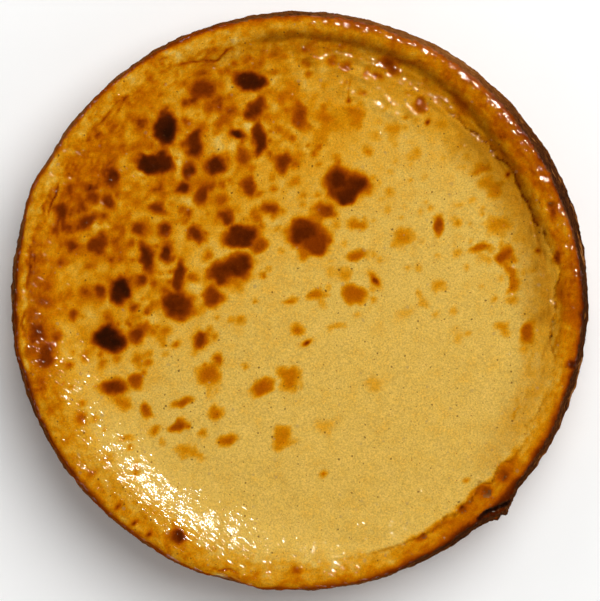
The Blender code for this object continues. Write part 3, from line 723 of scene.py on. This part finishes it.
custard = {
    # baked custard from raw pale to charred, each at its browning
    "stops": [
        (0.00, "#ecd09d"), (0.14, "#dab258"), (0.24, "#d1a94c"), (0.34, "#cf9626"), (0.45, "#c5810a"),
        (0.55, "#b66701"), (0.65, "#a04d01"), (0.76, "#7e3202"), (0.87, "#521c02"), (1.00, "#260e04"),
    ],
    # mm across, detail, roughness and how far it shifts the browning: pebbled egg skin, mottling, soft clouds
    "patterns": {
        "grain": (0.75, 4.0, 0.75, 0.10), "mottle": (5, 4.0, 0.65, 0.14), "clouds": (18, 2.0, 0.5, 0.06),
    },
    "less": 0.15,               # takes back what the patterns add on the whole
    "relief": (("grain", 1.0, 0.12), ("mottle", 0.6, 0.30)),    # strength, depth in mm
    "roughness": 0.8,
    "attributes": ("bake", "gloss", "shade"),
    # the colour the painted shade multiplies the custard towards
    "shadow": "#815938",
    # specks of spice, greyish smudges and burnt crumb: mm apart, size in mm, share left out, colour, strength
    "specks": (
        (5.5, 0.52, 0.52, "#4a2a12", 0.72), (9.0, 0.9, 0.55, "#8a7455", 0.35),
        (3.1, 0.28, 0.55, "#8a3f12", 0.7), (2.3, 0.22, 0.60, "#a8752a", 0.7),
    ),
    # the glaze: mm across its drops and its pucker, with their detail, and how deep the pucker is in mm
    "drops": (1.5, 2.0), "pucker": (1.7, 1.4), "puckerDepth": 0.52,
}

crust = {
    # the crust that baked against the tin, from torn pale flakes to black
    "stops": [
        (0.20, "#ab8c68"), (0.42, "#946f48"), (0.60, "#8a5829"), (0.72, "#70401a"), (0.84, "#4a2711"),
        (0.94, "#2c160b"), (1.00, "#190c07"),
    ],
    "patterns": {"crumbs": (2.6, 3.0, 0.65, 0.38), "grain": (0.9, 2.0, 0.6, 0.16)},
    "drawnOut": "crumbs",       # they lie along the side rather than up it
    "less": 0.29,
    "relief": (("crumbs", 1.0, 0.9), ("grain", 0.8, 0.3)),
    "roughness": 0.9,
    "attributes": ("bake",),
}


def bakedMaterial(name, look):
    # what the skin and the crust share: the browning turned to colour, roughened by patterns that also
    # stand in relief, and no gloss of their own
    material = bpy.data.materials.new(name)
    material.use_nodes = True
    tree = material.node_tree
    shader = tree.nodes["Principled BSDF"]
    sockets = {"place": addNode(material, "ShaderNodeTexCoord").outputs["Object"]}
    for attribute in look["attributes"]:
        stored = addNode(material, "ShaderNodeAttribute", {"attribute_name": attribute})
        sockets[attribute] = stored.outputs["Fac"]
    level = sockets["bake"]
    for pattern, (size, detail, roughness, shift) in look["patterns"].items():
        place = sockets["place"]
        if pattern == look.get("drawnOut"):
            flat = addNode(material, "ShaderNodeMapping", None, {"Vector": place}, {"Scale": (1, 1, 2.2)})
            place = flat.outputs["Vector"]
        noisy = addNode(material, "ShaderNodeTexNoise", None, {"Vector": place},
                        {"Scale": 1 / (size * mm), "Detail": detail, "Roughness": roughness})
        sockets[pattern] = noisy.outputs["Fac"]
        level = addNode(material, "ShaderNodeMath", {"operation": "MULTIPLY_ADD"},
                        {0: sockets[pattern], 2: level}, {1: shift}).outputs[0]
    less = addNode(material, "ShaderNodeMath", {"operation": "SUBTRACT"}, {0: level}, {1: look["less"]})
    ramp = addNode(material, "ShaderNodeValToRGB", None, {"Fac": less.outputs[0]})
    while len(ramp.color_ramp.elements) < len(look["stops"]):
        ramp.color_ramp.elements.new(0.5)
    for element, (position, code) in zip(ramp.color_ramp.elements, look["stops"]):
        element.position = position
        element.color = hexColor(code)
    sockets["color"] = ramp.outputs["Color"]
    links = {}
    for pattern, strength, depth in look["relief"]:
        links["Height"] = sockets[pattern]
        values = {"Strength": strength, "Distance": depth * mm}
        bump = addNode(material, "ShaderNodeBump", None, links, values)
        links["Normal"] = bump.outputs["Normal"]
    tree.links.new(links["Normal"], shader.inputs["Normal"])
    shader.inputs["Roughness"].default_value = look["roughness"]
    shader.inputs["Specular IOR Level"].default_value = 0.0
    return material, shader, sockets


def addSpecks(material, color, place, hidden, spacing, size, hide, code, strength):
    # scattered specks with ragged outlines, each cell its own size
    ragged = addNode(material, "ShaderNodeTexNoise", None, {"Vector": place},
                     {"Scale": 1 / (0.8 * mm), "Detail": 1.0})
    wobble = addNode(material, "ShaderNodeVectorMath", {"operation": "SCALE"}, {0: ragged.outputs["Color"]},
                     {"Scale": 0.7 * mm})
    wobbly = addNode(material, "ShaderNodeVectorMath", {"operation": "ADD"}, {0: place, 1: wobble.outputs[0]})
    cells = addNode(material, "ShaderNodeTexVoronoi", {"voronoi_dimensions": "2D"},
                    {"Vector": wobbly.outputs[0]}, {"Scale": 1 / (spacing * mm), "Randomness": 1.0})
    chance = addNode(material, "ShaderNodeSeparateColor", None, {"Color": cells.outputs["Color"]})
    full = size / spacing
    sized = addNode(material, "ShaderNodeMapRange", None, {"Value": chance.outputs["Red"]},
                    {"From Min": hide, "To Max": full})
    inside = addNode(material, "ShaderNodeMath", {"operation": "SUBTRACT"},
                     {0: sized.outputs[0], 1: cells.outputs["Distance"]})
    mask = addNode(material, "ShaderNodeMapRange", {"interpolation_type": "SMOOTHSTEP"},
                   {"Value": inside.outputs[0]},
                   {"From Min": -0.12 * full, "From Max": 0.35 * full, "To Max": strength})
    shown = addNode(material, "ShaderNodeMath", {"operation": "MULTIPLY"}, {0: mask.outputs[0], 1: hidden})
    mix = addNode(material, "ShaderNodeMix", {"data_type": "RGBA"}, {0: shown.outputs[0], 6: color},
                  {7: hexColor(code)})
    return mix.outputs[2]


def custardMaterial():
    # baked egg custard: soft in colour, matt where dry, a clear glaze where the sugar ran
    material, shader, sockets = bakedMaterial("glazedCustardSkin", custard)
    tree = material.node_tree
    place, grain = sockets["place"], sockets["grain"]
    # the grain lightens and darkens the custard, and a painted brown shadow lies in the hollows along the rim
    lightness = addNode(material, "ShaderNodeMapRange", None, {"Value": grain},
                        {"From Min": 0.25, "From Max": 0.75, "To Min": 0.56, "To Max": 1.41})
    lit = addNode(material, "ShaderNodeVectorMath", {"operation": "SCALE"},
                  {0: sockets["color"], "Scale": lightness.outputs[0]})
    shadow = addNode(material, "ShaderNodeMix", {"data_type": "RGBA", "blend_type": "MULTIPLY"},
                     {0: sockets["shade"], 6: lit.outputs[0]}, {7: hexColor(custard["shadow"])})
    # the specks drown in the dark spots
    hidden = addNode(material, "ShaderNodeMapRange", None, {"Value": sockets["bake"]},
                     {"From Min": 0.45, "From Max": 0.7, "To Min": 1.0, "To Max": 0.15}).outputs[0]
    color = shadow.outputs[2]
    for speck in custard["specks"]:
        color = addSpecks(material, color, place, hidden, *speck)
    tree.links.new(color, shader.inputs["Base Color"])
    shader.inputs["IOR"].default_value = 1.42
    shader.inputs["Subsurface Weight"].default_value = 0.08
    shader.inputs["Subsurface Radius"].default_value = (3.0, 1.4, 0.4)
    shader.inputs["Subsurface Scale"].default_value = 0.001
    # the wet glaze lies in streaks, and is puckered along them
    across = addNode(material, "ShaderNodeMapping", {"vector_type": "TEXTURE"}, {"Vector": place},
                     {"Rotation": (0, 0, math.radians(-35)), "Scale": (2.2, 1, 1)}).outputs[0]
    drops, pucker = (addNode(material, "ShaderNodeTexNoise", None, {"Vector": across},
                             {"Scale": 1 / (size * mm), "Detail": detail}).outputs["Fac"]
                     for size, detail in (custard["drops"], custard["pucker"]))
    likely = addNode(material, "ShaderNodeMath", {"operation": "MULTIPLY_ADD"},
                     {0: drops, 2: sockets["gloss"]}, {1: 1.6})
    wet = addNode(material, "ShaderNodeMapRange", {"interpolation_type": "SMOOTHSTEP"},
                  {"Value": likely.outputs[0]}, {"From Min": 1.20, "From Max": 1.50})
    tree.links.new(wet.outputs[0], shader.inputs["Coat Weight"])
    shader.inputs["Coat Roughness"].default_value = 0.08
    shader.inputs["Coat IOR"].default_value = 1.45
    height = addNode(material, "ShaderNodeMath", {"operation": "MULTIPLY_ADD"},
                     {0: grain, 2: pucker}, {1: 0.10})
    puckered = addNode(material, "ShaderNodeBump", None, {"Height": height.outputs[0]},
                       {"Strength": 1.0, "Distance": custard["puckerDepth"] * mm})
    tree.links.new(puckered.outputs[0], shader.inputs["Coat Normal"])
    return material


def crustMaterial():
    # the dry crust that baked against the tin: matt, brown to black, torn pale where it stuck
    material, shader, sockets = bakedMaterial("drySideCrust", crust)
    material.node_tree.links.new(sockets["color"], shader.inputs["Base Color"])
    return material


def buildCake():
    body = makeBlank()
    moved, radius, bearing, height = shapeCake(body)
    bakeCake(body, moved, radius, bearing, height)
    body.data.materials.clear()
    # the top has the glazed skin, the side and base a dry crust
    body.data.materials.append(custardMaterial())
    body.data.materials.append(crustMaterial())
    centres, normals = faceData(body)
    turned = np.degrees(np.arctan2(centres[:, 1], centres[:, 0])) % 360
    overEdge = withinArc(turned, browning["overEdge"], 16)
    crustFrom = cake["rimHeight"] - browning["overEdgeDrop"] * overEdge * mm
    onSide = (normals[:, 2] < 0.7) & (np.hypot(centres[:, 0], centres[:, 1]) > 110 * mm)
    onSide &= centres[:, 2] < crustFrom
    onSide |= normals[:, 2] < -0.5
    body.data.polygons.foreach_set("material_index", onSide.astype(np.int32))
    body.data.shade_smooth()
    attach(body, "root")
    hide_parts("cheesecake")
    body.data.calc_loop_triangles()
    print("cake done:", len(body.data.loop_triangles), "triangles")


studio = {
    "floorColor": "#fbfbfa",
    "keyBearing": 52, "keyDistance": 1.6,
    # name, size in metres, watts, elevation in degrees; the small lamp is there for the glaze alone
    "lamps": (("keySoftbox", 1.40, 23.8, 62), ("glazeSpark", 0.21, 38.0, 58)),
    "sparkColor": (1.0, 0.90, 0.76),
    "skyTop": 0.005, "skyEdge": 1.12,
    "cameraDistance": 2.0, "lens": 288,
}


def makeFloor():
    bpy.ops.mesh.primitive_plane_add(size=12, location=(0, 0, 0))
    floor = bpy.context.active_object
    floor.name = "studioFloor"
    material = bpy.data.materials.new("paleStudioPaper")
    material.use_nodes = True
    shader = material.node_tree.nodes["Principled BSDF"]
    place = addNode(material, "ShaderNodeTexCoord").outputs["Object"]
    fibre = addNode(material, "ShaderNodeTexNoise", None, {"Vector": place}, {"Scale": 40.0, "Detail": 3.0})
    tone = addNode(material, "ShaderNodeValToRGB", None, {"Fac": fibre.outputs["Fac"]})
    tone.color_ramp.elements[0].color = hexColor("#f8f8f7")
    tone.color_ramp.elements[1].color = hexColor(studio["floorColor"])
    material.node_tree.links.new(tone.outputs["Color"], shader.inputs["Base Color"])
    shader.inputs["Roughness"].default_value = 0.9
    shader.inputs["Specular IOR Level"].default_value = 0.2
    floor.data.materials.append(material)


def makeLights():
    bearing = math.radians(studio["keyBearing"])
    for name, size, power, degrees in studio["lamps"]:
        elevation = math.radians(degrees)
        away = Vector((math.cos(bearing) * math.cos(elevation), math.sin(bearing) * math.cos(elevation),
                       math.sin(elevation)))
        bpy.ops.object.light_add(type="AREA", location=away * studio["keyDistance"])
        lamp = bpy.context.active_object
        lamp.name = name
        lamp.data.shape = "DISK"
        lamp.data.size = size
        lamp.data.energy = power
        lamp.rotation_euler = away.to_track_quat("Z", "Y").to_euler()
        if name == "glazeSpark":
            lamp.data.color = studio["sparkColor"]
        lamp.visible_glossy = name == "glazeSpark"
        lamp.visible_diffuse = name == "keySoftbox"
    # a sky that is bright low down and dim overhead, so the light comes from the sides
    world = bpy.data.worlds.new("softRoom")
    bpy.context.scene.world = world
    world.use_nodes = True
    place = addNode(world, "ShaderNodeTexCoord").outputs["Generated"]
    upness = addNode(world, "ShaderNodeSeparateXYZ", None, {0: place}).outputs["Z"]
    square = addNode(world, "ShaderNodeMath", {"operation": "MULTIPLY"}, {0: upness, 1: upness}).outputs[0]
    low = addNode(world, "ShaderNodeMath", {"operation": "SUBTRACT"}, {1: square}, {0: 1.0}).outputs[0]
    lower = addNode(world, "ShaderNodeMath", {"operation": "MULTIPLY"}, {0: low, 1: low}).outputs[0]
    strength = addNode(world, "ShaderNodeMapRange", None, {"Value": lower},
                       {"To Min": studio["skyTop"], "To Max": studio["skyEdge"]})
    background = world.node_tree.nodes["Background"]
    background.inputs["Color"].default_value = (1, 1, 1, 1)
    world.node_tree.links.new(strength.outputs[0], background.inputs["Strength"])
    world.cycles_visibility.glossy = False  # the photograph's glaze mirrors a dark room


def makeCamera():
    above = cake["widestHeight"] + studio["cameraDistance"]
    bpy.ops.object.camera_add(location=(0, 0, above), rotation=(0, 0, 0))
    camera = bpy.context.active_object
    camera.data.lens = studio["lens"]
    camera.data.sensor_width = 36
    camera.data.clip_end = 50
    bpy.context.scene.camera = camera


buildCake()
makeFloor()
makeLights()
makeCamera()
bpy.context.scene.view_settings.view_transform = "Standard"
print("studio done")
